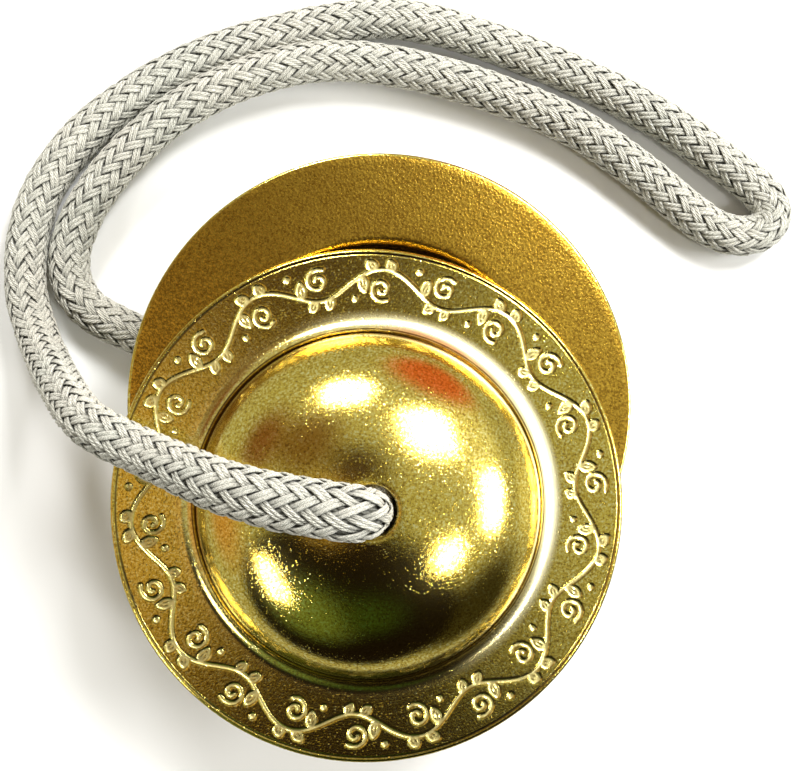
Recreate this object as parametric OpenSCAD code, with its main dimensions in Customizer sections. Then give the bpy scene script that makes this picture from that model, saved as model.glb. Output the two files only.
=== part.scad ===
// A pair of hand-held finger cymbals, laid face to face and joined by one cord.
// Origin: midway between the two cymbals' axes, in the plane where their playing faces meet.
// +Z runs out through the upper cymbal's dome, and +Y towards the lower cymbal's side.

/* [Cymbals] */
// Diameter of each cymbal over its rim
cymbal_d = 70; // [69:0.5:72]
// Diameter of the dome where it rises from the rim
dome_d = 46.4; // [44:0.2:48]
// Height of the dome's top above the playing face
dome_h = 17; // [16.6:0.1:17.2]
// Thickness of the flat rim
rim_t = 2.2; // [1.8:0.1:2.6]
// Thickness of the dome's wall
wall_t = 1.8; // [1.4:0.1:2]
// Gap left between the two playing faces
strike_gap = 0.3; // [0.2:0.1:0.6]

/* [Lay of the pair] */
// How far apart the two axes lie, left to right
shift_x = 1.8; // [1.4:0.2:2.6]
// How far apart the two axes lie, front to back
shift_y = 13.8; // [13:0.2:14]

/* [Cord] */
// Diameter of the braided cord
cord_d = 6.4; // [5.6:0.1:6.4]
// Diameter of the hole in each dome
hole_d = 6.4; // [6:0.1:7]
// Radius of the ring that each stopper knot's turns make, to the middle of the cord
knot_r = 4.5; // [4:0.1:4.8]
// Length of the cord's tail below each stopper knot
tail_l = 9; // [7:0.5:10]

/* [Hidden] */

rim_r = cymbal_d / 2;
dome_r = dome_d / 2;
cord_r = cord_d / 2;
hole_r = hole_d / 2;
// The cord is squeezed a little where it passes through a hole.
neck_r = min(cord_r, hole_r) - 0.2;
half_gap = strike_gap / 2;
upper_axis = [-shift_x / 2, -shift_y / 2, half_gap];
lower_axis = [shift_x / 2, shift_y / 2, -half_gap];

// The dome's section is a superellipse, a little squarer than a ball.
dome_power = 2.2;
dome_steps = 22;
dome_foot = rim_t + 1;
mouth_round = 2.2;
edge_round = 0.7;
fillet_r = 2.6;

// A quarter of a superellipse, from its widest point up to radius r_end.
function dome_arc(r, z_foot, z_top, r_end) =
    let (a_end = acos(pow(r_end / r, dome_power / 2)))
    [for (i = [0:dome_steps])
        let (a = a_end * i / dome_steps)
        [r * pow(cos(a), 2 / dome_power),
         z_foot + (z_top - z_foot) * pow(sin(a), 2 / dome_power)]];

// Points on an arc about [cr, cz], from angle a0 to angle a1.
function arc(cr, cz, r, a0, a1, steps) =
    [for (i = [0:steps])
        let (a = a0 + (a1 - a0) * i / steps)
        [cr + r * cos(a), cz + r * sin(a)]];

function reversed(list) = [for (i = [len(list) - 1:-1:0]) list[i]];

// Half section of one cymbal: playing face at z = 0, dome towards +z.
function cymbal_section() =
    let (inner_r = dome_r - wall_t,
         inner = dome_arc(inner_r, mouth_round, dome_h - wall_t, hole_r),
         outer = dome_arc(dome_r, dome_foot, dome_h, hole_r + 0.5))
    concat(
        arc(inner_r + mouth_round, mouth_round, mouth_round, 270, 180, 5),
        [for (i = [1:dome_steps]) inner[i]],
        [[hole_r, outer[dome_steps][1] - 0.5]],
        reversed(outer),
        arc(dome_r + fillet_r, rim_t + fillet_r, fillet_r, 215, 270, 6),
        arc(rim_r - edge_round, rim_t - edge_round, edge_round, 90, 0, 4),
        [[rim_r, 0.3], [rim_r - 0.3, 0]]);

module cymbal() {
    rotate_extrude($fn = 180)
        polygon(cymbal_section());
}

module upper_cymbal() {
    color([0.83, 0.66, 0.22])
        translate(upper_axis)
            cymbal();
}

module lower_cymbal() {
    color([0.78, 0.58, 0.18])
        translate(lower_axis)
            mirror([0, 0, 1])
                cymbal();
}

// Heights that the cord's route uses: where it leaves each hole, and its middle on the surface.
lay_gap = 0.3;
exit_z = dome_h + half_gap + 0.2;
lay_z = -(dome_h + half_gap + lay_gap + cord_r);
// Where the returning strand rides on the flank of the other.
ride_z = lay_z + 2;
tube_sides = 10;
route_steps = 2;

// The cord's route: out of the upper dome and over its rim to the left, down to the surface, along the
// back to the fold, back beside itself, and under the lower cymbal in a curl to its hole.
upper_lead = [
    [-0.9, -6.9, exit_z], [-1.8, -6.9, 19.6], [-4.4, -6.8, 20.9], [-17, -4.5, 18.2], [-29, -0.2, 10],
    [-36, 2.8, 6.2], [-41.4, 6.4, 0], [-50, 16.8, -16]];
outward_run = [
    [-52.9, 27, lay_z + 1.6], [-50.9, 39.6, lay_z], [-42.2, 51, lay_z], [-26, 61.2, lay_z],
    [-6, 66.8, lay_z], [8, 67.2, lay_z], [29, 60.5, lay_z], [45, 52.8, lay_z], [58.4, 43.6, lay_z]];
fold = [
    [63, 39.4, lay_z], [63.2, 35.8, lay_z], [59.6, 33.8, lay_z]];
return_run = [
    [53, 35.6, lay_z], [40.6, 45.3, lay_z], [28.6, 52.6, lay_z], [8, 59.2, lay_z + 0.6],
    [-10, 60, ride_z], [-27.6, 53.6, ride_z], [-40.4, 42.6, lay_z + 1], [-46.5, 31.2, lay_z],
    [-44.6, 22.8, lay_z]];
// Given from the lower axis.
curl = [
    [-36.6, 10.6, lay_z], [-20, 2, lay_z], [-8.5, -7, lay_z], [3, -11, lay_z], [11.5, -5.5, lay_z],
    [11.5, 5, lay_z], [3, 11, lay_z], [-5, 9.5, lay_z], [-7.4, 4, lay_z], [-3.6, 0, lay_z],
    [-0.9, 0, -19.6], [0, 0, -exit_z]];
route = concat(upper_lead, outward_run, fold, return_run,
    [for (p = curl) [lower_axis[0] + p[0], lower_axis[1] + p[1], p[2]]]);

function unit(v) = v / norm(v);

// A smooth curve through the points p, with a number of steps between each two.
function smooth(p, steps) =
    let (n = len(p) - 1)
    concat([for (i = [0:n - 1], s = [0:steps - 1])
        let (a = p[max(i - 1, 0)], b = p[i], c = p[i + 1], d = p[min(i + 2, n)],
             t = s / steps)
        0.5 * (2 * b + (c - a) * t + (2 * a - 5 * b + 4 * c - d) * t * t
            + (3 * b - a - 3 * c + d) * t * t * t)], [p[n]]);

function directions(p) =
    [for (i = [0:len(p) - 1]) unit(p[min(i + 1, len(p) - 1)] - p[max(i - 1, 0)])];

// One direction across the cord at each point, carried along it without twisting.
function carried(t, across, i = 0) =
    i == len(t) ? [] :
    let (v = unit(across - (across * t[i]) * t[i]))
    concat([v], carried(t, v, i + 1));

module tube(path, r, sides, first_direction, last_direction) {
    inner = directions(path);
    n = len(path);
    t = [for (i = [0:n - 1]) i == 0 ? first_direction : i == n - 1 ? last_direction : inner[i]];
    u = carried(t, [0, 1, 0]);
    points = [for (i = [0:n - 1], k = [0:sides - 1])
        let (a = 360 * k / sides)
        path[i] + r * (cos(a) * u[i] + sin(a) * cross(t[i], u[i]))];
    walls = [for (i = [0:n - 2], k = [0:sides - 1])
        let (a = i * sides + k, b = i * sides + (k + 1) % sides)
        each [[a, b + sides, b], [a, a + sides, b + sides]]];
    caps = [[for (k = [0:sides - 1]) k], [for (k = [sides - 1:-1:0]) (n - 1) * sides + k]];
    polyhedron(points, concat(walls, caps), convexity = 12);
}

module cord() {
    color([0.78, 0.77, 0.74])
        tube(smooth(route, route_steps), cord_r, tube_sides, [0, 0, 1], [0, 0, 1]);
}

// A stopper knot, hanging from a dome's hole: the neck in the hole, two turns round it, and a tail.
turn_z = dome_h - wall_t - cord_r - 0.6;
turn_pitch = 0.8 * cord_d;
core_z = turn_z - cord_d;
module stopper_knot(neck_top) {
    translate([0, 0, core_z])
        cylinder(r = neck_r, h = neck_top - core_z, $fn = 48);
    for (z = [turn_z, turn_z - turn_pitch])
        translate([0, 0, z])
            rotate_extrude($fn = 72)
                translate([knot_r, 0])
                    circle(r = cord_r - 0.1, $fn = 32);
    translate([0, 0, core_z])
        sphere(r = neck_r, $fn = 48);
    translate([0, 0, core_z + 0.2])
        rotate([90, 0, 0])
            cylinder(r = neck_r - 0.2, h = tail_l, $fn = 48);
}

// The upper knot moves away from the cord's end as the pair opens, so a hair's gap is left there.
module upper_knot() {
    color([0.74, 0.73, 0.7])
        translate(upper_axis)
            stopper_knot(exit_z - half_gap - 0.1);
}

module lower_knot() {
    color([0.74, 0.73, 0.7])
        translate(lower_axis)
            mirror([0, 0, 1])
                rotate([0, 0, 180])
                    stopper_knot(exit_z - half_gap);
}

upper_cymbal();
lower_cymbal();
cord();
upper_knot();
lower_knot();
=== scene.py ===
"""The looks of a pair of finger cymbals: brass, engraving, braided cord and stopper knots.

Everything is in metres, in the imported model's own frame: the origin is midway between the two
cymbals' axes in their striking plane, +Z runs out through the upper dome, and +Y points towards
the lower cymbal's side.
"""

import math

import bpy
import numpy as np
from mathutils import Matrix, Vector


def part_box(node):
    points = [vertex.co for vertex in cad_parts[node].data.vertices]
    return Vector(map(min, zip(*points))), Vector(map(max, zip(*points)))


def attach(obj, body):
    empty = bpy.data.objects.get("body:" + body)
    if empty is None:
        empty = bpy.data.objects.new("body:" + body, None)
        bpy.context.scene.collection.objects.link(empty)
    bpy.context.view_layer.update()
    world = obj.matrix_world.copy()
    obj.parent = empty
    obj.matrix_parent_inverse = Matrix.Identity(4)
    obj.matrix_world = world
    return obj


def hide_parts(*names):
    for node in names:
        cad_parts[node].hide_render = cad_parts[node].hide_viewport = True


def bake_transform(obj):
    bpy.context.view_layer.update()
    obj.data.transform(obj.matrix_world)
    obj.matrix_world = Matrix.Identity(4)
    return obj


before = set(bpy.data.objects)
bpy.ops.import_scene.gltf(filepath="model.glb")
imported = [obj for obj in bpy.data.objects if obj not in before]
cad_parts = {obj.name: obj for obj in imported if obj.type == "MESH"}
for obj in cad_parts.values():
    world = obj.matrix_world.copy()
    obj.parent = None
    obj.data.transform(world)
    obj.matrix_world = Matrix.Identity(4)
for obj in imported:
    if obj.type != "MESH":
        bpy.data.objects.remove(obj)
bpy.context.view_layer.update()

scene = bpy.context.scene
random = np.random.default_rng(21)

MM = 0.001


# ---------------------------------------------------------------- places, from the frame

def axis_of(node):
    """The x and y of a cymbal's own axis."""
    low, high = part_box(node)
    middle = (low + high) / 2
    return np.array([middle.x, middle.y])


UPPER_LOW, UPPER_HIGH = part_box("upper_cymbal")
UPPER_AXIS = axis_of("upper_cymbal")
LOWER_AXIS = axis_of("lower_cymbal")
UPPER_FACE = UPPER_LOW.z
LOWER_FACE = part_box("lower_cymbal")[1].z
RIM_R = (UPPER_HIGH.x - UPPER_LOW.x) / 2
DOME_TOP = UPPER_HIGH.z
FLOOR_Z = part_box("cord")[0].z

CORD_D = 0.0064
CORD_R = CORD_D / 2
# The cord's ends stand a little off the domes, and its runs lie a little below the lower one.
EXIT_GAP = 0.0002
LAY_GAP = 0.0003
# How far the returning strand rides up on the flank of the other.
RIDE_UP = 0.002
EXIT_Z = DOME_TOP + EXIT_GAP
LAY_Z = -(DOME_TOP + LAY_GAP + CORD_R)
RIDE_Z = LAY_Z + RIDE_UP


# ---------------------------------------------------------------- camera

CAMERA_PLACE = (-0.0047, 0.0034, 0.170)
CAMERA_TARGET = (0.00345, 0.00935, 0)


def look_at(thing, target):
    """Turns a camera or a light towards a point, with +Y up in its picture."""
    forward = (Vector(target) - thing.location).normalized()
    right = forward.cross(Vector((0, 1, 0))).normalized()
    up = right.cross(forward)
    thing.rotation_euler = Matrix((right, up, -forward)).transposed().to_euler()


def add_camera():
    data = bpy.data.cameras.new("camera")
    data.sensor_width = 36
    data.lens = 55.2
    data.clip_start = 0.005
    data.clip_end = 20
    camera = bpy.data.objects.new("camera", data)
    scene.collection.objects.link(camera)
    camera.location = CAMERA_PLACE
    look_at(camera, CAMERA_TARGET)
    scene.camera = camera


add_camera()
scene.view_settings.view_transform = "Standard"


# ---------------------------------------------------------------- the cord's route, as in the CAD source

UPPER_LEAD = [
    (-0.0009, -0.0069, EXIT_Z), (-0.0018, -0.0069, 0.0196), (-0.0044, -0.0068, 0.0209),
    (-0.017, -0.0045, 0.0182), (-0.029, -0.0002, 0.010), (-0.036, 0.0028, 0.0062),
    (-0.0414, 0.0064, 0), (-0.050, 0.0168, -0.016)]
OUTWARD_RUN = [
    (-0.0529, 0.027, LAY_Z + 0.0016), (-0.0509, 0.0396, LAY_Z), (-0.0422, 0.051, LAY_Z),
    (-0.026, 0.0612, LAY_Z), (-0.006, 0.0668, LAY_Z), (0.008, 0.0672, LAY_Z),
    (0.029, 0.0605, LAY_Z), (0.045, 0.0528, LAY_Z), (0.0584, 0.0436, LAY_Z)]
FOLD = [(0.063, 0.0394, LAY_Z), (0.0632, 0.0358, LAY_Z), (0.0596, 0.0338, LAY_Z)]
RETURN_RUN = [
    (0.053, 0.0356, LAY_Z), (0.0406, 0.0453, LAY_Z), (0.0286, 0.0526, LAY_Z),
    (0.008, 0.0592, LAY_Z + 0.0006), (-0.010, 0.060, RIDE_Z), (-0.0276, 0.0536, RIDE_Z),
    (-0.0404, 0.0426, LAY_Z + 0.001), (-0.0465, 0.0312, LAY_Z), (-0.0446, 0.0228, LAY_Z)]
# Given from the lower axis.
CURL = [
    (-0.0366, 0.0106, LAY_Z), (-0.020, 0.002, LAY_Z), (-0.0085, -0.007, LAY_Z),
    (0.003, -0.011, LAY_Z), (0.0115, -0.0055, LAY_Z), (0.0115, 0.005, LAY_Z),
    (0.003, 0.011, LAY_Z), (-0.005, 0.0095, LAY_Z), (-0.0074, 0.004, LAY_Z),
    (-0.0036, 0, LAY_Z), (-0.0009, 0, -0.0196), (0, 0, -EXIT_Z)]
ROUTE = (UPPER_LEAD + OUTWARD_RUN + FOLD + RETURN_RUN
         + [(LOWER_AXIS[0] + x, LOWER_AXIS[1] + y, z) for x, y, z in CURL])


# ---------------------------------------------------------------- curves

def smooth_curve(points, steps=24):
    """The CAD route's own curve through the points, with many more steps between each two."""
    p = np.array(points, float)
    last = len(p) - 1
    curve = []
    for i in range(last):
        a, b, c, d = p[max(i - 1, 0)], p[i], p[i + 1], p[min(i + 2, last)]
        for s in range(steps):
            t = s / steps
            curve.append(0.5 * (2 * b + (c - a) * t + (2 * a - 5 * b + 4 * c - d) * t ** 2
                                + (3 * b - a - 3 * c + d) * t ** 3))
    curve.append(p[last])
    return np.array(curve)


def distance_along(curve):
    """How far along the curve each of its points is."""
    gaps = np.linalg.norm(np.diff(curve, axis=0), axis=1)
    return np.concatenate([[0], np.cumsum(gaps)])


def even_steps(curve, step):
    """The same curve with points an even distance apart."""
    s = distance_along(curve)
    count = int(round(s[-1] / step))
    wanted = np.linspace(0, s[-1], count + 1)
    return np.stack([np.interp(wanted, s, curve[:, k]) for k in range(3)], axis=1)


def softened(curve, reach=2, passes=2):
    """The curve with its small kinks evened out. Its first and last points stay."""
    c = curve.copy()
    for _ in range(passes):
        for shift in range(1, reach + 1):
            middle = c[shift:-shift]
            c[shift:-shift] = 0.5 * middle + 0.25 * (c[:-2 * shift] + c[2 * shift:])
    return c


def unit(v):
    return v / np.linalg.norm(v, axis=-1, keepdims=True)


def carried_frames(curve, across):
    """Directions along and across the curve at each point, carried along it without twisting."""
    along = unit(np.gradient(curve, axis=0))
    side = np.zeros_like(curve)
    v = np.array(across, float)
    for i, t in enumerate(along):
        v = unit(v - (v @ t) * t)
        side[i] = v
    return along, side, np.cross(along, side)


# ---------------------------------------------------------------- meshes

def add_mesh(name, points, faces, materials, attributes=None, face_materials=None):
    """A smooth mesh. attributes has a value for each point, face_materials a number for each face."""
    mesh = bpy.data.meshes.new(name)
    mesh.from_pydata([tuple(p) for p in points], [], faces)
    mesh.polygons.foreach_set("use_smooth", np.ones(len(mesh.polygons), bool))
    for key, values in (attributes or {}).items():
        layer = mesh.attributes.new(key, "FLOAT", "POINT")
        layer.data.foreach_set("value", np.asarray(values, np.float32))
    for material in materials:
        mesh.materials.append(material)
    if face_materials is not None:
        mesh.polygons.foreach_set("material_index", np.asarray(face_materials, np.int32))
    mesh.update()
    thing = bpy.data.objects.new(name, mesh)
    scene.collection.objects.link(thing)
    return thing


# ---------------------------------------------------------------- materials

class Nodes:
    """A short way to write the node tree of a material, or of the world."""

    # Where a Mix node keeps its share, its two colours and the colour that comes out.
    MIX_SHARE = 0
    MIX_FIRST = 6
    MIX_SECOND = 7
    MIX_RESULT = 2

    def __init__(self, owner, shader="Principled BSDF"):
        owner.use_nodes = True
        self.owner = owner
        self.tree = owner.node_tree
        self.shader = self.tree.nodes[shader]

    def add(self, kind, inputs=None, **settings):
        node = self.tree.nodes.new(kind)
        for key, value in settings.items():
            setattr(node, key, value)
        for key, value in (inputs or {}).items():
            if isinstance(value, bpy.types.NodeSocket):
                self.tree.links.new(value, node.inputs[key])
            else:
                node.inputs[key].default_value = value
        return node

    def link(self, socket, name):
        self.tree.links.new(socket, self.shader.inputs[name])

    def place(self):
        return self.add("ShaderNodeTexCoord").outputs["Object"]

    def attribute(self, name):
        return self.add("ShaderNodeAttribute", attribute_name=name).outputs["Fac"]

    def noise(self, size, detail=3.0, roughness=0.6):
        """Noise whose features are about size metres across."""
        node = self.add("ShaderNodeTexNoise", {
            "Vector": self.place(), "Scale": 1 / size, "Detail": detail, "Roughness": roughness})
        return node.outputs["Fac"]

    def spots(self, size):
        """The distance to the middle of the nearest of many spots, size metres apart."""
        node = self.add("ShaderNodeTexVoronoi", {
            "Vector": self.place(), "Scale": 1 / size, "Randomness": 1.0})
        return node.outputs["Distance"]

    def remap(self, value, low, high, to_low=0.0, to_high=1.0):
        node = self.add("ShaderNodeMapRange", {
            "Value": value, "From Min": low, "From Max": high, "To Min": to_low,
            "To Max": to_high}, clamp=True)
        return node.outputs["Result"]

    def maths(self, operation, *values):
        return self.add("ShaderNodeMath", dict(enumerate(values)), operation=operation).outputs[0]

    def plus(self, a, b):
        return self.maths("ADD", a, b)

    def times(self, a, b):
        return self.maths("MULTIPLY", a, b)

    def mixed(self, share, first, second):
        """The first colour where the share is 0, and the second where it is 1."""
        node = self.add("ShaderNodeMix", {
            self.MIX_SHARE: share, self.MIX_FIRST: first, self.MIX_SECOND: second}, data_type="RGBA")
        return node.outputs[self.MIX_RESULT]

    def bump(self, height, distance):
        return self.add("ShaderNodeBump", {"Height": height, "Distance": distance}).outputs["Normal"]


def rgb(r, g, b):
    return (r, g, b, 1.0)


BRASS = rgb(0.88, 0.68, 0.10)
BRASS_CLOUD = rgb(0.80, 0.60, 0.09)
BRASS_DARK_GRAIN = rgb(0.36, 0.22, 0.03)
BRASS_PALE_GRAIN = rgb(1.0, 0.95, 0.50)
# The fillet's painted highlight.
BRASS_PAINTED_SHEEN = rgb(0.95, 0.91, 0.66)
# Painted shade at the dome's foot, and the darker grooves.
BRASS_SHADE_AND_GROOVES = rgb(0.16, 0.09, 0.02)
BRASS_CUT = rgb(1.0, 0.88, 0.42)
MATT_BRASS = rgb(0.78, 0.49, 0.06)
MATT_CLOUD = rgb(0.68, 0.41, 0.05)
MATT_DARK_GRAIN = rgb(0.22, 0.11, 0.012)
MATT_PALE_GRAIN = rgb(0.95, 0.66, 0.18)
GRAIN_SIZE = 0.38 * MM
TURNING_STEP = 0.42 * MM

YARN = rgb(0.74, 0.72, 0.63)
YARN_CLOUD = rgb(0.67, 0.68, 0.60)
YARN_PALE = rgb(0.92, 0.90, 0.80)
YARN_FUZZ = rgb(0.20, 0.19, 0.15)
# Painted shade in the braid's creases, under its strands and on its core.
YARN_CREASE_SHADE = rgb(0.055, 0.055, 0.04)
# The fibres' twist in a yarn: its pitch along the yarn and across it.
TWIST_ALONG = 0.75 * MM
TWIST_ACROSS = 0.30 * MM


def radius_from(n, axis):
    """The distance from a cymbal's own axis, for marks that the lathe left."""
    x, y = n.add("ShaderNodeSeparateXYZ", {0: n.place()}).outputs[:2]
    dx = n.plus(x, -float(axis[0]))
    dy = n.plus(y, -float(axis[1]))
    squares = n.plus(n.times(dx, dx), n.times(dy, dy))
    return n.maths("POWER", squares, 0.5)


def polished_brass(name, axis):
    """The outside: cast, turned and buffed brass, finely pitted, with brighter cut strokes."""
    n = Nodes(bpy.data.materials.new(name))
    cut = n.attribute("cut")
    fillet_sheen = n.attribute("fillet_sheen")
    cloud = n.noise(9 * MM, 4)
    grain = n.noise(GRAIN_SIZE, 4, 0.8)
    pits = n.remap(n.spots(0.36 * MM), 0.08, 0.34, 1.0, 0.0)
    pits = n.times(pits, n.remap(n.noise(1.1 * MM, 2), 0.40, 0.60))
    base = n.mixed(n.remap(cloud, 0.35, 0.7), BRASS, BRASS_CLOUD)
    base = n.mixed(n.remap(grain, 0.52, 0.62, 0.0, 0.9), base, BRASS_DARK_GRAIN)
    base = n.mixed(n.remap(grain, 0.47, 0.39, 0.0, 0.9), base, BRASS_PALE_GRAIN)
    # Painted highlight: the fillet is paler on the side towards the lights, where it would mirror them.
    base = n.mixed(n.remap(fillet_sheen, 0.0, 1.0, 0.0, 0.85), base, BRASS_PAINTED_SHEEN)
    # Painted shade towards the dome's foot, and darker grooves round the dome and inside the rim's edge.
    base = n.mixed(n.attribute("painted_shade_and_grooves"), base, BRASS_SHADE_AND_GROOVES)
    base = n.mixed(n.remap(cut, 0.0, 1.0, 0.0, 0.75), base, BRASS_CUT)
    n.link(base, "Base Color")
    rough = n.remap(grain, 0.35, 0.70, 0.06, 0.16)
    rough = n.plus(rough, n.remap(cut, 0.0, 1.0, 0.0, 0.25))
    rough = n.plus(rough, n.remap(fillet_sheen, 0.0, 1.0, 0.02, 0.26))
    n.link(rough, "Roughness")
    n.shader.inputs["Metallic"].default_value = 1.0
    n.shader.inputs["Coat Weight"].default_value = 0.22
    n.shader.inputs["Coat Roughness"].default_value = 0.26
    rings = n.maths("SINE", n.times(radius_from(n, axis), 2 * math.pi / TURNING_STEP))
    height = n.maths("SUBTRACT", n.times(grain, 0.46), n.times(pits, 0.50))
    height = n.plus(height, n.times(rings, 0.018))
    n.link(n.bump(height, 0.030 * MM), "Normal")
    return n.owner


def grained_brass(name):
    """The playing face and the inside: left matt from the casting, brown in its grain."""
    n = Nodes(bpy.data.materials.new(name))
    grain = n.noise(GRAIN_SIZE, 4, 0.85)
    cloud = n.noise(7 * MM, 3)
    base = n.mixed(n.remap(cloud, 0.35, 0.7), MATT_BRASS, MATT_CLOUD)
    base = n.mixed(n.remap(grain, 0.40, 0.56), MATT_DARK_GRAIN, base)
    base = n.mixed(n.remap(grain, 0.58, 0.68, 0.0, 0.6), base, MATT_PALE_GRAIN)
    n.link(base, "Base Color")
    n.link(n.remap(grain, 0.3, 0.7, 0.30, 0.16), "Roughness")
    n.shader.inputs["Metallic"].default_value = 1.0
    n.link(n.bump(n.plus(grain, n.spots(0.4 * MM)), 0.016 * MM), "Normal")
    return n.owner


def cotton(name):
    """Undyed braided cotton: soft grey-white yarns of fine twisted fibres, with shade painted dark
    between them.
    """
    n = Nodes(bpy.data.materials.new(name))
    twist = n.plus(n.times(n.attribute("lengthwise"), 2 * math.pi / TWIST_ALONG),
                   n.times(n.attribute("crosswise"), 2 * math.pi / TWIST_ACROSS))
    fuzz = n.noise(0.16 * MM, 4, 0.7)
    cloud = n.noise(14 * MM, 2)
    base = n.mixed(n.remap(cloud, 0.35, 0.65), YARN, YARN_CLOUD)
    base = n.mixed(n.remap(n.attribute("shade"), 0.0, 1.0, 0.0, 0.55), base, YARN_PALE)
    base = n.mixed(n.remap(fuzz, 0.40, 0.58, 0.7, 0.0), base, YARN_FUZZ)
    # Painted shade: darker in the creases, under the crossing strands and on the core.
    base = n.mixed(n.remap(n.attribute("deep"), 0.08, 0.62, 0.0, 0.94), base, YARN_CREASE_SHADE)
    n.link(base, "Base Color")
    n.shader.inputs["Roughness"].default_value = 0.92
    n.shader.inputs["Sheen Weight"].default_value = 0.25
    n.shader.inputs["Sheen Roughness"].default_value = 0.5
    n.shader.inputs["Specular IOR Level"].default_value = 0.15
    height = n.plus(n.times(n.maths("SINE", twist), 0.45), fuzz)
    n.link(n.bump(height, 0.11 * MM), "Normal")
    return n.owner


# ---------------------------------------------------------------- braided cord

CARRIERS_EACH_WAY = 12
CORE_SIDES = 16
BRAID_STEP = 0.62 * MM
BRAID_ANGLE = math.radians(34)
# The length of cord in which a strand goes round it once.
BRAID_LAY = 2 * math.pi * CORD_R / math.tan(BRAID_ANGLE)
YARN_THICK = 0.52 * MM
STRAND_WIDTH = 1.22 * MM
# A strand rises over the others and sinks under them by WAVE, and holds each level for a while:
# WAVE_PEAK is the hyperbolic tangent of WAVE_HOLD.
WAVE = 0.30 * MM
WAVE_HOLD = 1.5
WAVE_PEAK = 0.905
# The outline of one strand, two yarns side by side: (across, up, how much shade is painted on). The
# first two are in halves of the strand's width and thickness.
STRAND_OUTLINE = [
    (-1.0, 0.0, 0.5), (-0.84, 0.72, 0), (-0.5, 1.0, 0), (-0.16, 0.72, 0), (0.0, 0.35, 0.325),
    (0.16, 0.72, 0), (0.5, 1.0, 0), (0.84, 0.72, 0), (1.0, 0.0, 0.5), (0.45, -0.7, 0.9),
    (-0.45, -0.7, 0.9)]
COTTON = cotton("braided_cotton")


def ripple(s, amount, length):
    """A slight wave along a strand, which starts anywhere in its cycle."""
    return amount * np.sin(s / length + random.uniform(0, 6.28))


class Braid:
    """A tubular braid along a curve of even steps: strands, and a core inside them.

    Each is a tube, and each side of a tube is one row of points along the curve. flatten gives the
    share of the radius in the two directions across the cord, for all steps or for each.
    """

    def __init__(self, curve, across, radius, flatten):
        self.curve = curve
        self.steps = len(curve)
        self.s = distance_along(curve)
        self.along, self.side, self.other = carried_frames(curve, across)
        self.radius = np.broadcast_to(radius, self.steps)
        self.flatten = np.broadcast_to(flatten, (self.steps, 2))
        self.rows = []
        self.walls = []
        self.caps = []
        self.marks = {"deep": [], "shade": [], "lengthwise": [], "crosswise": []}

    def add_row(self, points, **marks):
        self.rows.append(points)
        for key, values in marks.items():
            self.marks[key].append(np.broadcast_to(values, self.steps))

    def close_tube(self, sides):
        """Walls between the last rows, and a cap at each end."""
        start = (len(self.rows) - sides) * self.steps
        ring = np.arange(self.steps - 1)
        for j in range(sides):
            a = start + j * self.steps
            b = start + (j + 1) % sides * self.steps
            self.walls.append(np.stack([a + ring, b + ring, b + ring + 1, a + ring + 1], axis=1))
        first = [start + j * self.steps for j in range(sides)]
        last = [point + self.steps - 1 for point in first]
        self.caps += [first[::-1], last]

    def spokes(self, angle):
        """From the middle of the cord towards an angle round it, shorter where the cord is pressed."""
        return (np.cos(angle) * self.flatten[:, :1] * self.side
                + np.sin(angle) * self.flatten[:, 1:] * self.other)

    def add_strand(self, k, way):
        """Lays one strand, over two and under two of those that go round the other way."""
        strays = ripple(self.s, 0.03, 9 * MM)
        strays = strays + ripple(self.s, 0.025, 2.1 * MM)
        swell = 1 + ripple(self.s, 0.13, 3.3 * MM)
        angle = 2 * math.pi * k / CARRIERS_EACH_WAY + way * 2 * math.pi * self.s / BRAID_LAY
        crossing = angle * CARRIERS_EACH_WAY / math.pi
        wave = way * np.tanh(WAVE_HOLD * np.cos(math.pi * (crossing - 0.5) / 2)) / WAVE_PEAK
        angle = (angle + strays)[:, None]
        scale = self.radius / CORD_R
        middle = self.radius - (YARN_THICK / 2 + WAVE) * scale
        height = middle + WAVE * scale * wave + random.normal(0, 0.03 * MM)
        tone = np.clip(random.normal(0.5, 0.22), 0, 1)
        out = np.cos(angle) * self.side + np.sin(angle) * self.other
        round_way = -np.sin(angle) * self.side + np.cos(angle) * self.other
        width_way = math.cos(BRAID_ANGLE) * round_way - way * math.sin(BRAID_ANGLE) * self.along
        centre = self.curve + height[:, None] * self.spokes(angle)
        # Painted shade: the strand is darker where it goes under the others, and at its edges and
        # underside.
        under = np.clip(0.5 - 0.5 * wave, 0, 1)
        for x, y, dark in STRAND_OUTLINE:
            across = (x * STRAND_WIDTH / 2 * scale * swell)[:, None]
            up = (y * YARN_THICK / 2 * scale * swell)[:, None]
            self.add_row(centre + across * width_way + up * out,
                         deep=np.clip(0.55 * under + dark, 0, 1), shade=tone,
                         lengthwise=self.s / math.cos(BRAID_ANGLE) + k * 0.37 * MM,
                         crosswise=x * STRAND_WIDTH / 2)
        self.close_tube(len(STRAND_OUTLINE))

    def add_core(self):
        """Fills the inside, so that nothing shows through between the strands. It is painted dark as
        shade.
        """
        inner = self.radius - (YARN_THICK + 1.1 * WAVE) * self.radius / CORD_R
        for j in range(CORE_SIDES):
            spokes = self.spokes(2 * math.pi * j / CORE_SIDES)
            self.add_row(self.curve + inner[:, None] * spokes, deep=1.0, shade=0.3,
                         lengthwise=self.s, crosswise=0.0)
        self.close_tube(CORE_SIDES)

    def mesh(self, name):
        faces = np.concatenate(self.walls).tolist() + self.caps
        marks = {key: np.concatenate(rows) for key, rows in self.marks.items()}
        return add_mesh(name, np.concatenate(self.rows), faces, [COTTON], marks)


def add_braid(name, curve, across, radius, flatten=(1, 1)):
    """A piece of braided cord. across is a direction that is not along the curve's start."""
    braid = Braid(curve, across, radius, flatten)
    for way in (1, -1):
        for k in range(CARRIERS_EACH_WAY):
            braid.add_strand(k, way)
    braid.add_core()
    return braid.mesh(name)


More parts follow.
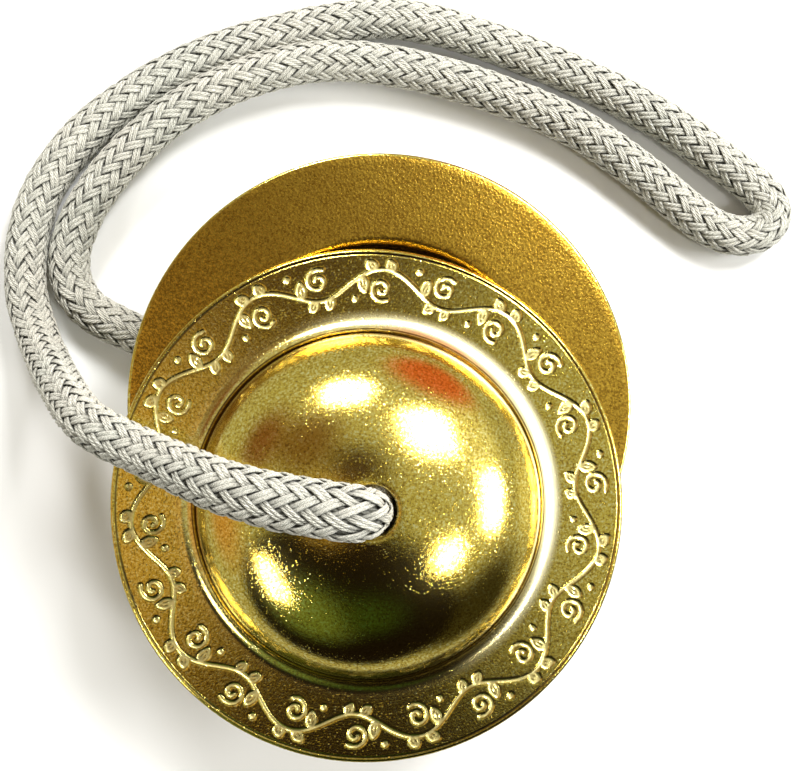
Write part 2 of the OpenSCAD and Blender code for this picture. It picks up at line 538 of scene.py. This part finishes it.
def braid_curve(curve):
    """The curve in the braid's own even steps, with its small kinks evened out."""
    return even_steps(softened(even_steps(curve, BRAID_STEP)), BRAID_STEP)


# The cord's radius in a hole, how far the braid goes on into it, and in what length it grows again.
SQUEEZED_R = 2.85 * MM
INSIDE = 2.2 * MM
GROWTH = 2.5 * MM
# Bent hard over the upper hole's edge, the cord is pressed wider and lower there: the distances from
# its upper end where that begins, is full, begins to ease and is over.
PRESSED_AT = (3 * MM, 6 * MM, 14 * MM, 36 * MM)
PRESSED_WIDER = 0.16
PRESSED_LOWER = 0.10


def add_cord():
    """The cord's braid, the curve that it follows and its length."""
    start = (*ROUTE[0][:2], ROUTE[0][2] - INSIDE)
    end = (*ROUTE[-1][:2], ROUTE[-1][2] + INSIDE)
    curve = braid_curve(np.concatenate([[start], smooth_curve(ROUTE), [end]]))
    s = distance_along(curve)
    from_end = np.minimum(s, s[-1] - s)
    grown = np.clip((from_end - INSIDE) / GROWTH, 0, 1)
    radius = SQUEEZED_R + (CORD_R - SQUEEZED_R) * grown
    pressed = np.interp(s, PRESSED_AT, (0, 1, 1, 0))
    flatten = np.stack([1 + PRESSED_WIDER * pressed, 1 - PRESSED_LOWER * pressed], axis=1)
    piece = add_braid("braided_cord", curve, (0, 1, 0), radius, flatten)
    return piece, curve, float(s[-1])


cord_piece, cord_curve, cord_length = add_cord()


# ---------------------------------------------------------------- stopper knots

KNOT_CORD_R = 2.62 * MM
# How far the knot's neck ends below the cord's own end.
NECK_DROP = 1.4 * MM
# The knot's one turn, in millimetres: its radius, its height where it starts and how far it sinks.
TURN_R = 4.9
TURN_TOP = 12.1
TURN_DROP = 4.9
TURN_STEPS = 12


def knot_route():
    """In millimetres: down out of the hole, round in one close turn, and back under it as the tail."""
    route = [(0, 0, 15.2), (0.2, 1.2, 13.6), (0.8, 3.4, 12.5)]
    for i in range(TURN_STEPS + 1):
        share = i / TURN_STEPS
        a = math.radians(75 - 360 * share)
        route.append((TURN_R * math.cos(a), TURN_R * math.sin(a), TURN_TOP - TURN_DROP * share))
    route += [(3.9, 1.4, 5.9), (2.2, -2.0, 4.5), (0.6, -5.4, 4.1), (0, -8.6, 4.3), (0, -11, 4.6)]
    return np.array(route)


def add_knot(name, axis, side):
    """side is 1 over the striking plane and -1 under it, where the knot is the other way up."""
    route = np.concatenate([[(0, 0, EXIT_Z - NECK_DROP)], knot_route() * MM]) * (1, side, side)
    route[:, :2] += axis
    return add_braid(name, braid_curve(smooth_curve(route, 12)), (1, 0, 0), KNOT_CORD_R)


upper_knot = add_knot("upper_stopper_knot", UPPER_AXIS, 1)
lower_knot = add_knot("lower_stopper_knot", LOWER_AXIS, -1)


# ---------------------------------------------------------------- engraving on the rims

# The border is drawn in millimetres: x runs along the rim, and y outwards from the band's middle.
REPEATS = 11
BAND_MID = 30.3
REPEAT_LENGTH = 2 * math.pi * BAND_MID / REPEATS
STEM_SWING = 1.9
CUT_WIDTH = 0.19
CUT_DEPTH = 0.15 * MM
# The leaves of each bend: where on the stem they start, from the bend's middle, their lean and length.
LEAVES = [(-1.2, 68, 1.5), (0.9, 40, 1.6), (2.9, -100, 2.2)]
LEAF_HALF = 0.5


def spiral(cx, cy, r0, r1, a0, a1, steps=18):
    """A stroke that turns about a point, from angle a0 to a1, while its radius changes."""
    t = np.linspace(0, 1, steps)
    a = np.radians(a0 + (a1 - a0) * t)
    r = r0 + (r1 - r0) * t
    return np.stack([cx + r * np.cos(a), cy + r * np.sin(a)], axis=1)


def leaf(x, y, length, lean):
    """Both edges of a pointed leaf that grows from x, y, and its rib."""
    t = np.linspace(0, 1, 9)
    half = LEAF_HALF * np.sin(math.pi * t) ** 0.8
    c, s = math.cos(math.radians(lean)), math.sin(math.radians(lean))
    strokes = [(length * t, half), (length * t, -half), (length * 0.7 * t, 0 * t)]
    return [np.stack([x + c * u - s * v, y + s * u + c * v], axis=1) for u, v in strokes]


def stem_height(x):
    return STEM_SWING * np.sin(2 * math.pi * x / REPEAT_LENGTH)


def vine_strokes():
    """One repeat: a waving stem with a curled tendril, leaves and a berry at each of its two bends."""
    x = np.linspace(-REPEAT_LENGTH / 2, REPEAT_LENGTH / 2, 49)
    strokes = [np.stack([x, stem_height(x)], axis=1)]
    for sign in (1, -1):
        bend = sign * REPEAT_LENGTH / 4
        strokes.append(spiral(bend + 0.2, -0.9 * sign, 0.35, 1.7, 700 * sign, 235 * sign))
        for start, lean, length in LEAVES:
            foot = bend + start
            strokes += leaf(foot, stem_height(foot), length, lean * sign)
        strokes.append(spiral(bend + 4.0, -2.2 * sign, 0.2, 0.2, 0, 360, 9))
    return strokes


VINE = vine_strokes()


def stroke_distance(x, y, strokes):
    """The distance from each point to the nearest stroke, where that is under 9."""
    nearest = np.full(x.shape, 9.0)
    for line in strokes:
        for (x0, y0), (x1, y1) in zip(line[:-1], line[1:]):
            dx, dy = x1 - x0, y1 - y0
            t = np.clip(((x - x0) * dx + (y - y0) * dy) / (dx * dx + dy * dy + 1e-12), 0, 1)
            nearest = np.minimum(nearest, np.hypot(x - x0 - t * dx, y - y0 - t * dy))
    return nearest


def engraving(radius, angle):
    """How deep the rim is cut at a radius and at each of many angles, from 0 to 1.

    It is cut fully within 0.4 of CUT_WIDTH from a stroke, and not at all beyond 1.4 of it."""
    repeat = 2 * math.pi / REPEATS
    x = ((angle + repeat / 2) % repeat - repeat / 2) * BAND_MID
    y = radius / MM - BAND_MID
    return np.clip(1.4 - stroke_distance(x, y, VINE) / CUT_WIDTH, 0, 1)


# ---------------------------------------------------------------- cymbals

DOME_R = 23.2 * MM
DOME_H = 17.0 * MM
DOME_POWER = 2.2
RIM_T = 2.2 * MM
WALL_T = 1.8 * MM
HOLE_R = 3.2 * MM
FILLET_R = 2.6 * MM
MOUTH_ROUND = 2.2 * MM
DOME_FOOT = RIM_T + 1.0 * MM
BORDER_IN = 26.7 * MM
BORDER_OUT = 34.0 * MM
FACE_OUT = 33.5 * MM
# Fine turned shapes, in millimetres: the hole's softened edge (out from the hole, down from the
# dome's top), the groove round the dome (out from the dome, up from its foot), the groove inside the
# rim's edge (in from the edge, down from the rim's top), and the edge itself with both its corners
# eased (in from the edge, up from the playing face).
HOLE_EDGE = [(0, 0.95), (0.05, 0.5), (0.22, 0.16)]
FOOT_GROOVE = [(0.02, -0.08), (0.14, -0.22), (0.30, -0.18), (0.40, 0)]
LIP_GROOVE = [(0.94, 0), (0.82, 0.09), (0.68, 0.09), (0.56, 0)]
RIM_EDGE = [(0.40, 2.19), (0.24, 2.12), (0.11, 1.98), (0.03, 1.80), (0, 1.55), (0, 0.32),
            (0.07, 0.14), (0.22, 0.03), (0.40, 0)]

DIVISIONS = 360
# The border's rings have three points for each division, so that the cut strokes stay fine.
BORDER_SPLIT = 3
GRAINED_STRETCHES = ("mouth", "inside", "face")
# The side of the dome towards the lights, where the fillet's painted highlight is strongest.
SHEEN_TOWARDS = math.radians(25)


def dome_arc(r, foot, top, r_end, steps):
    """A quarter of a superellipse, from its widest point up to r_end."""
    last = math.acos((r_end / r) ** (DOME_POWER / 2))
    a = np.linspace(0, last, steps + 1)
    return np.stack([r * np.cos(a) ** (2 / DOME_POWER),
                     foot + (top - foot) * np.sin(a) ** (2 / DOME_POWER)], axis=1)


def arc_points(cr, cz, r, a0, a1, steps):
    """An arc about cr, cz, from a0 to a1 degrees."""
    a = np.radians(np.linspace(a0, a1, steps + 1))
    return np.stack([cr + r * np.cos(a), cz + r * np.sin(a)], axis=1)


def flat_stretch(r0, r1, z, count):
    return np.stack([np.linspace(r0, r1, count), np.full(count, z)], axis=1)


def cymbal_section():
    """Half the cymbal's section, as named stretches of points that lead once round it."""
    inner_r = DOME_R - WALL_T
    mouth_r = inner_r + MOUTH_ROUND
    return [
        ("mouth", arc_points(mouth_r, MOUTH_ROUND, MOUTH_ROUND, 270, 180, 10)),
        ("inside", dome_arc(inner_r, MOUTH_ROUND, DOME_H - WALL_T, HOLE_R, 36)[1:]),
        ("hole", [(HOLE_R + out * MM, DOME_H - down * MM) for out, down in HOLE_EDGE]),
        ("dome", dome_arc(DOME_R, DOME_FOOT, DOME_H, HOLE_R + 0.5 * MM, 60)[::-1]),
        ("foot", [(DOME_R + out * MM, DOME_FOOT + up * MM) for out, up in FOOT_GROOVE]),
        ("fillet", arc_points(DOME_R + FILLET_R, RIM_T + FILLET_R, FILLET_R, 216, 270, 14)),
        ("border", flat_stretch(BORDER_IN, BORDER_OUT, RIM_T, 40)),
        ("lip", [(RIM_R - inwards * MM, RIM_T - down * MM) for inwards, down in LIP_GROOVE]),
        ("edge", [(RIM_R - inwards * MM, up * MM) for inwards, up in RIM_EDGE]),
        ("face", flat_stretch(FACE_OUT, mouth_r, 0.0, 12)[:-1]),
    ]


def foot_shade_and_groove_dark(kind, z):
    """How dark the brass is painted at a height in one stretch of the section, from 0 to 1."""
    if kind == "dome":
        # Painted shade at the dome's foot, where the rim hides what it would mirror: dark up to 6 mm,
        # clean from 10 mm.
        return 0.6 * float(np.clip((10 * MM - z) / (4 * MM), 0, 1))
    # The grooves round the dome's foot and inside the rim's edge are darker.
    if kind in ("foot", "fillet") and 2.9 * MM < z < 3.19 * MM:
        return 1.0
    if kind == "lip" and z < RIM_T:
        return 0.8
    return 0.0


def fillet_sheen_share(angle):
    """How strongly the fillet's highlight is painted on, more on the side towards the lights than on the
    other.
    """
    return 0.15 + 0.85 * np.clip(np.cos(angle - SHEEN_TOWARDS), 0, 1) ** 0.7


def faces_between(a, count_a, b, count_b):
    """The quads and the triangles between two rings of points, the first starting at a, the next at b."""
    i = np.arange(min(count_a, count_b))
    j = (i + 1) % len(i)
    if count_a == count_b:
        return np.stack([b + i, b + j, a + j, a + i], axis=1).tolist(), []
    coarse, fine, order = (a, b, -1) if count_a < count_b else (b, a, 1)
    f = fine + BORDER_SPLIT * i
    f_next = fine + BORDER_SPLIT * j
    quads = np.stack([coarse + i, coarse + j, f + 2, f + 1][::order], axis=1)
    triangles = np.concatenate([
        np.stack([coarse + i, f + 1, f][::order], axis=1),
        np.stack([coarse + j, f_next, f + 2][::order], axis=1)])
    return quads.tolist(), triangles.tolist()


def add_cymbal(name, axis, face_z, side, turn, materials):
    """One cymbal, turned from its section. side is 1 for a dome towards +Z and -1 for the other way.

    turn is where the border's repeats start round the rim."""
    points = []
    rings = []
    marks = {"cut": [], "painted_shade_and_grooves": [], "fillet_sheen": []}
    first = 0
    for kind, stretch in cymbal_section():
        n = DIVISIONS * BORDER_SPLIT if kind == "border" else DIVISIONS
        angle = np.arange(n) * 2 * math.pi / n
        none = np.zeros(n)
        for r, z in stretch:
            depth = engraving(r, angle + turn) if kind == "border" else none
            points.append(np.stack([axis[0] + r * np.cos(angle), axis[1] + side * r * np.sin(angle),
                                    face_z + side * (z - CUT_DEPTH * depth)], axis=1))
            marks["cut"].append(depth)
            marks["painted_shade_and_grooves"].append(np.full(n, foot_shade_and_groove_dark(kind, z)))
            marks["fillet_sheen"].append(fillet_sheen_share(angle) if kind == "fillet" else none)
            rings.append((first, n, kind in GRAINED_STRETCHES))
            first += n
    quads, triangles, quad_materials, triangle_materials = [], [], [], []
    for (a, count_a, grained_a), (b, count_b, grained_b) in zip(rings, rings[1:] + rings[:1]):
        more_quads, more_triangles = faces_between(a, count_a, b, count_b)
        material = 1 if grained_a or grained_b else 0
        quads += more_quads
        triangles += more_triangles
        quad_materials += [material] * len(more_quads)
        triangle_materials += [material] * len(more_triangles)
    marks = {key: np.concatenate(values) for key, values in marks.items()}
    thing = add_mesh(name, np.concatenate(points), quads + triangles, materials, marks,
                     quad_materials + triangle_materials)
    thing.data.set_sharp_from_angle(angle=math.radians(50))
    return thing


GRAINED = grained_brass("grained_brass")
upper = add_cymbal("upper_brass_cymbal", UPPER_AXIS, UPPER_FACE, 1, 0.35,
                   [polished_brass("upper_polished_brass", UPPER_AXIS), GRAINED])
lower = add_cymbal("lower_brass_cymbal", LOWER_AXIS, LOWER_FACE, -1, 1.1,
                   [polished_brass("lower_polished_brass", LOWER_AXIS), GRAINED])


# ---------------------------------------------------------------- what rides on what

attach(upper, "upper_cymbal")
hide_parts("upper_cymbal")
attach(lower, "lower_cymbal")
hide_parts("lower_cymbal")
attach(upper_knot, "upper_knot")
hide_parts("upper_knot")
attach(lower_knot, "cord")
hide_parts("lower_knot")
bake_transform(cord_piece)
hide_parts("cord")


# ---------------------------------------------------------------- floor and light

FLOOR_HALF = 0.55
FLOOR = rgb(0.93, 0.93, 0.92)
FLOOR_CLOUD = rgb(0.96, 0.96, 0.95)
LIGHT_DISTANCE = 0.7
# What the polished brass mirrors: (direction, full within, gone beyond, colour), each field laid over
# those before it. The two limits are distances on a ball of radius 1, where 1 is 60 degrees.
STUDIO = [
    ((0.74, 0.44, 0.52), 0.18, 0.50, (0.90, 0.90, 0.84)),
    ((0.97, 0.02, -0.24), 0.15, 0.36, (0.85, 0.82, 0.60)),
    ((0.46, 0.86, 0.17), 0.22, 0.42, (0.70, 0.17, 0.08)),
    ((-0.76, 0.43, 0.49), 0.10, 0.42, (0.22, 0.10, 0.05)),
    ((-0.42, 0.40, 0.82), 0.14, 0.38, (0.20, 0.12, 0.05)),
    ((-0.06, 0.17, 0.98), 0.12, 0.25, (0.05, 0.025, 0.012)),
    ((0.66, -0.70, 0.10), 0.30, 0.62, (0.04, 0.035, 0.015)),
    ((-0.18, -0.81, 0.56), 0.795, 0.835, (0.008, 0.005, 0.003)),
    ((0.0, -0.22, 0.975), 0.115, 0.165, (0.014, 0.007, 0.003)),
    ((-0.42, -0.75, 0.50), 0.14, 0.46, (0.14, 0.20, 0.07)),
    ((0.02, -0.76, 0.64), 0.08, 0.32, (0.03, 0.055, 0.010)),
    ((-0.97, -0.10, 0.10), 0.10, 0.50, (0.60, 0.36, 0.18)),
    ((-0.27, -0.05, 0.96), 0.12, 0.24, (0.66, 0.46, 0.24)),
]
AROUND = rgb(0.49, 0.49, 0.40)
BACKDROP = rgb(0.93, 0.93, 0.93)


def add_floor():
    n = Nodes(bpy.data.materials.new("pale_floor"))
    n.link(n.mixed(n.noise(0.3, 2), FLOOR, FLOOR_CLOUD), "Base Color")
    n.shader.inputs["Roughness"].default_value = 0.8
    corners = [(-1, -1), (1, -1), (1, 1), (-1, 1)]
    points = [(FLOOR_HALF * x, FLOOR_HALF * y, FLOOR_Z) for x, y in corners]
    floor = add_mesh("floor", points, [(0, 1, 2, 3)], [n.owner])
    # The brass mirrors the studio's fields, and not the floor's flat white.
    floor.visible_glossy = False


def add_world():
    """A studio of soft pale and dark fields. The camera itself sees a plain pale backdrop."""
    world = bpy.data.worlds.new("studio")
    scene.world = world
    n = Nodes(world, "Background")
    direction = n.add("ShaderNodeTexCoord").outputs["Generated"]
    colour = AROUND
    for towards, full, gone, field in STUDIO:
        aim = tuple(Vector(towards).normalized())
        away = n.add("ShaderNodeVectorMath", {0: direction, 1: aim}, operation="DISTANCE")
        share = n.add("ShaderNodeMapRange", {
            "Value": away.outputs["Value"], "From Min": full, "From Max": gone, "To Min": 1.0,
            "To Max": 0.0}, interpolation_type="SMOOTHSTEP")
        colour = n.mixed(share.outputs["Result"], colour, rgb(*field))
    seen = n.add("ShaderNodeLightPath").outputs["Is Camera Ray"]
    n.link(n.mixed(seen, colour, BACKDROP), "Color")
    n.shader.inputs["Strength"].default_value = 1.0


def add_softbox(name, direction, size_x, size_y, power):
    """A rectangular soft light that stands in a direction from the upper dome and faces it."""
    data = bpy.data.lights.new(name, "AREA")
    data.shape = "RECTANGLE"
    data.size = size_x
    data.size_y = size_y
    data.energy = power
    light = bpy.data.objects.new(name, data)
    scene.collection.objects.link(light)
    dome = Vector((UPPER_AXIS[0], UPPER_AXIS[1], 0.01))
    light.location = dome + Vector(direction).normalized() * LIGHT_DISTANCE
    look_at(light, dome)


add_floor()
add_world()
add_softbox("back_softbox", (-0.16, 0.79, 0.59), 0.18, 0.14, 3.0)
add_softbox("key_softbox", (0.42, 0.48, 0.77), 0.20, 0.20, 4.2)
add_softbox("right_softbox", (0.87, 0.0, 0.50), 0.14, 0.24, 3.2)
add_softbox("front_softbox", (0.53, -0.36, 0.77), 0.09, 0.09, 0.9)
add_softbox("left_strip", (-0.66, -0.54, 0.52), 0.09, 0.20, 1.1)
